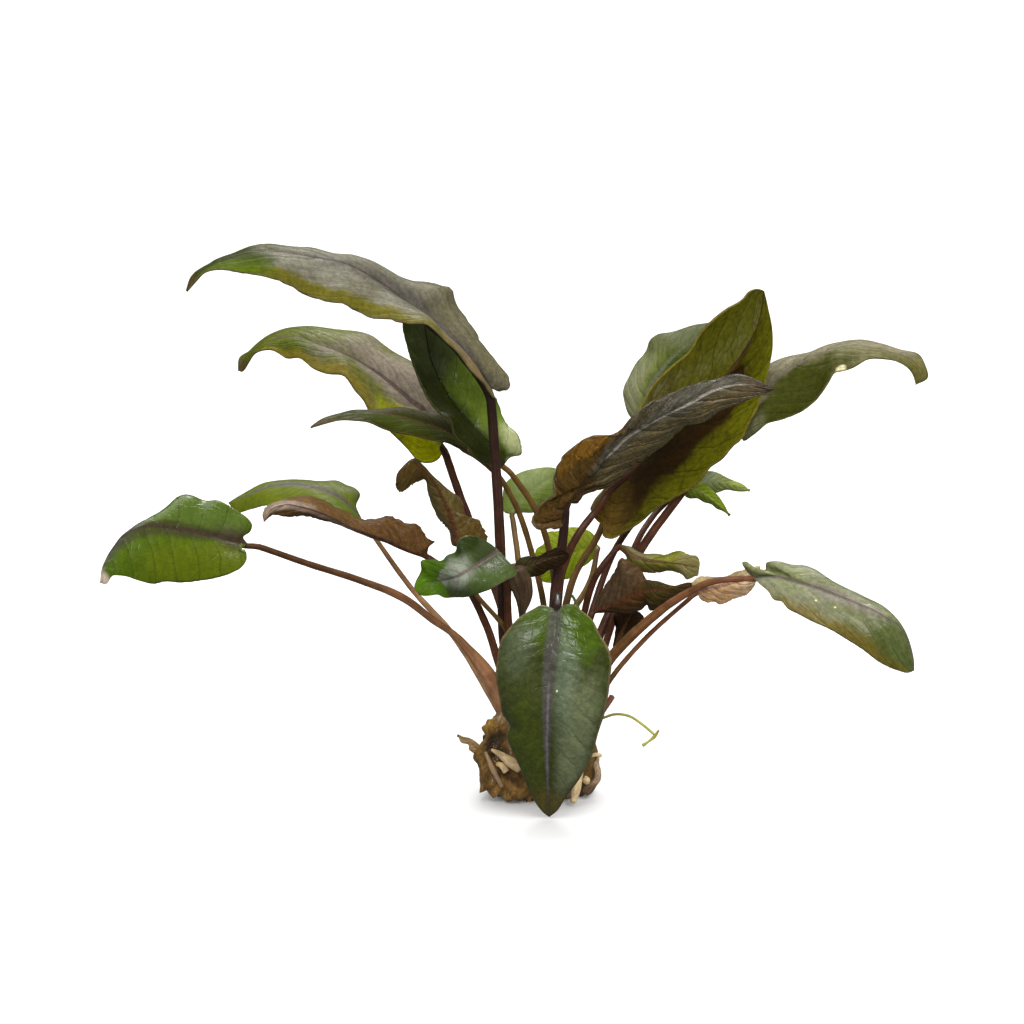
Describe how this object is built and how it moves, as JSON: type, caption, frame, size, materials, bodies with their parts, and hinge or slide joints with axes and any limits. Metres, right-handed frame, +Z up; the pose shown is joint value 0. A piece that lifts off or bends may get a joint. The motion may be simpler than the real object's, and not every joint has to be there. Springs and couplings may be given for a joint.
{
  "type": "cryptocoryne plant",
  "caption": "Bare-rooted rosette aquarium plant: arching green and bronze stalked leaves on a short trimmed crown with cut root stubs, standing on its flat cut base",
  "frame": {"origin": "middle of the flat cut under the crown, on the surface the plant stands on", "axes": "+Z up along the crown, +X to the right as the plant is seen from its front and along its widest spread, -Y to the front, where the dark green leaf hangs down"},
  "size_m": [0.1954, 0.0913, 0.135],
  "materials": {
    "green_leaf": "satin",
    "grey_green_leaf": "satin",
    "brown_leaf": "satin",
    "stalk": "satin",
    "crown": "matte",
    "root": "matte",
    "runner": "satin"
  },
  "bodies": {
    "root": {"back_bright_green_blade": "green_leaf", "back_bright_green_stalk": "stalk", "back_grey_green_blade": "grey_green_leaf", "back_grey_green_stalk": "stalk", "back_pale_green_blade": "green_leaf", "back_pale_green_stalk": "stalk", "crown": "crown", "cut_stalk": "stalk", "far_left_green_blade": "green_leaf", "far_left_green_stalk": "stalk", "far_right_arching_blade": "grey_green_leaf", "far_right_arching_stalk": "stalk", "far_right_low_blade": "grey_green_leaf", "far_right_low_stalk": "stalk", "front_blade": "green_leaf", "front_left_glossy_blade": "green_leaf", "front_left_glossy_stalk": "stalk", "front_small_brown_blade": "brown_leaf", "front_small_brown_stalk": "stalk", "front_stalk": "stalk", "left_brown_blade": "brown_leaf", "left_brown_stalk": "stalk", "left_deep_green_blade": "green_leaf", "left_deep_green_stalk": "stalk", "left_grey_blade": "grey_green_leaf", "left_grey_stalk": "stalk", "left_light_green_blade": "green_leaf", "left_light_green_stalk": "stalk", "left_narrow_blade": "brown_leaf", "left_narrow_stalk": "stalk", "left_small_olive_blade": "brown_leaf", "left_small_olive_stalk": "stalk", "right_crumpled_brown_blade": "brown_leaf", "right_crumpled_brown_stalk": "stalk", "right_crumpled_green_blade": "brown_leaf", "right_crumpled_green_stalk": "stalk", "right_dark_blade": "brown_leaf", "right_dark_stalk": "stalk", "right_folded_brown_blade": "brown_leaf", "right_folded_brown_stalk": "stalk", "right_small_lower_blade": "green_leaf", "right_small_lower_stalk": "stalk", "right_small_upper_blade": "green_leaf", "right_small_upper_stalk": "stalk", "root_far_left": "root", "root_front_low": "root", "root_front_stub": "root", "root_front_thin": "root", "root_front_upper": "root", "root_right_stub": "root", "runner": "runner", "runner_tip": "runner", "sheath_left": "crown", "sheath_right": "crown", "upper_left_blade": "grey_green_leaf", "upper_left_stalk": "stalk", "upper_right_blade": "brown_leaf", "upper_right_stalk": "stalk"}
  },
  "joints": []
}
